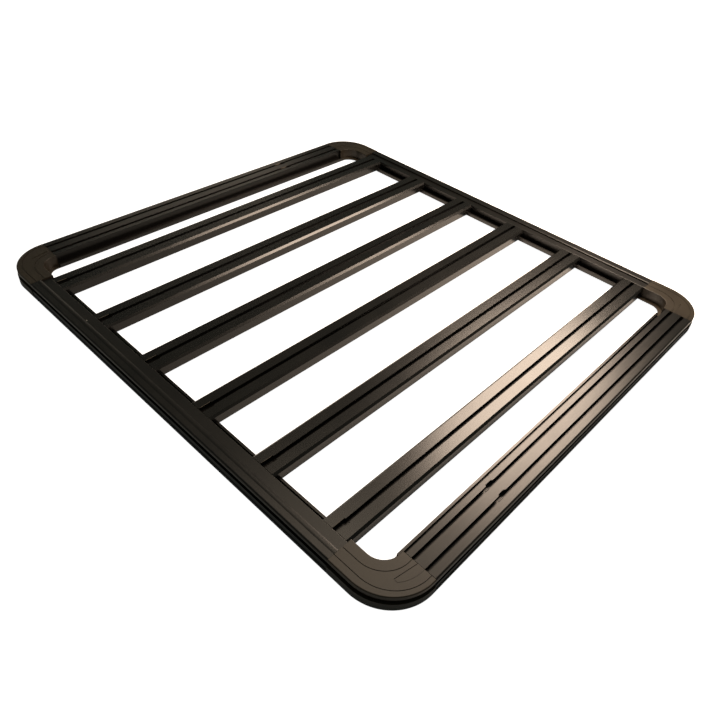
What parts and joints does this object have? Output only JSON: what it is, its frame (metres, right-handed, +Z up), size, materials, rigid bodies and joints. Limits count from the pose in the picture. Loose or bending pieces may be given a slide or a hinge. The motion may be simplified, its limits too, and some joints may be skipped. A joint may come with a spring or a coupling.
{
  "type": "platform roof rack",
  "caption": "Flat platform roof rack: hollow black aluminium rails with rounded corner castings around a row of slotted cross slats, for carrying loads on a vehicle roof.",
  "frame": {"origin": "middle of the rack in plan, on the level its rails rest on", "axes": "+X along the slats, +Y along the side rails, +Z up"},
  "size_m": [1.236, 1.328, 0.038],
  "materials": {
    "rail_powder_coat": "satin black powder coat on extruded aluminium",
    "corner_powder_coat": "satin black powder coat on cast aluminium",
    "slat_powder_coat": "satin black powder coat on extruded aluminium",
    "bolt_steel": "zinc-plated steel"
  },
  "bodies": {
    "root": {"left_side_rail": "rail_powder_coat", "right_side_rail": "rail_powder_coat", "front_end_rail": "rail_powder_coat", "rear_end_rail": "rail_powder_coat", "front_left_corner": "corner_powder_coat", "front_right_corner": "corner_powder_coat", "rear_left_corner": "corner_powder_coat", "rear_right_corner": "corner_powder_coat", "slat_1": "slat_powder_coat", "slat_2": "slat_powder_coat", "slat_3": "slat_powder_coat", "slat_4": "slat_powder_coat", "slat_5": "slat_powder_coat", "slat_6": "slat_powder_coat", "slat_1_bolts": "bolt_steel", "slat_2_bolts": "bolt_steel", "slat_3_bolts": "bolt_steel", "slat_4_bolts": "bolt_steel", "slat_5_bolts": "bolt_steel", "slat_6_bolts": "bolt_steel"}
  },
  "joints": []
}
